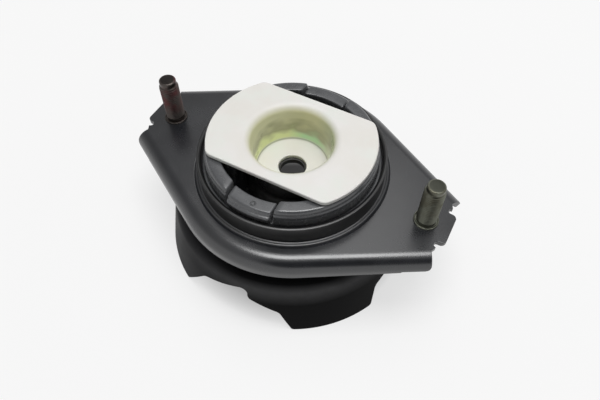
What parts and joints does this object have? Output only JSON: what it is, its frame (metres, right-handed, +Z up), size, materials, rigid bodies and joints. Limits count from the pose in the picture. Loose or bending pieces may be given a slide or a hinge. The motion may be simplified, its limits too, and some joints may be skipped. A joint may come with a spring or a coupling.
{
  "type": "strut mount",
  "caption": "Upper strut mount with a lozenge-shaped studded flange, a drawn spring seat with a notched skirt, a rubber insulator and a bright stopper plate with a deep cup.",
  "frame": {"origin": "where the axis of the strut rod crosses the flange's top face", "axes": "+X towards one stud, +Y across the studs, +Z up along the strut rod, the way the studs point"},
  "size_m": [0.1706, 0.1282, 0.0765],
  "materials": {
    "flange_paint": "satin black dip coat on pressed steel",
    "stud_steel": "rolled steel with a dull olive plating",
    "seat_paint": "satin black dip coat on drawn steel",
    "insulator_rubber": "matte moulded rubber",
    "rod_seat_paint": "phosphated drawn steel",
    "stopper_zinc": "bright zinc plating with a faint green and yellow tint"
  },
  "bodies": {
    "shell": {"flange_plate": "flange_paint", "mounting_studs": "stud_steel", "spring_seat": "seat_paint", "rubber_insulator": "insulator_rubber"},
    "core": {"rod_seat": "rod_seat_paint", "stopper_plate": "stopper_zinc"}
  },
  "joints": [
    {"name": "rod_seat_travel", "type": "slide", "parent": "shell", "child": "core", "axis": [0, 0, 1], "range_m": [-0.003, 0.004], "stiffness_N_per_m": 40000, "deforming": ["rubber_insulator"]}
  ]
}
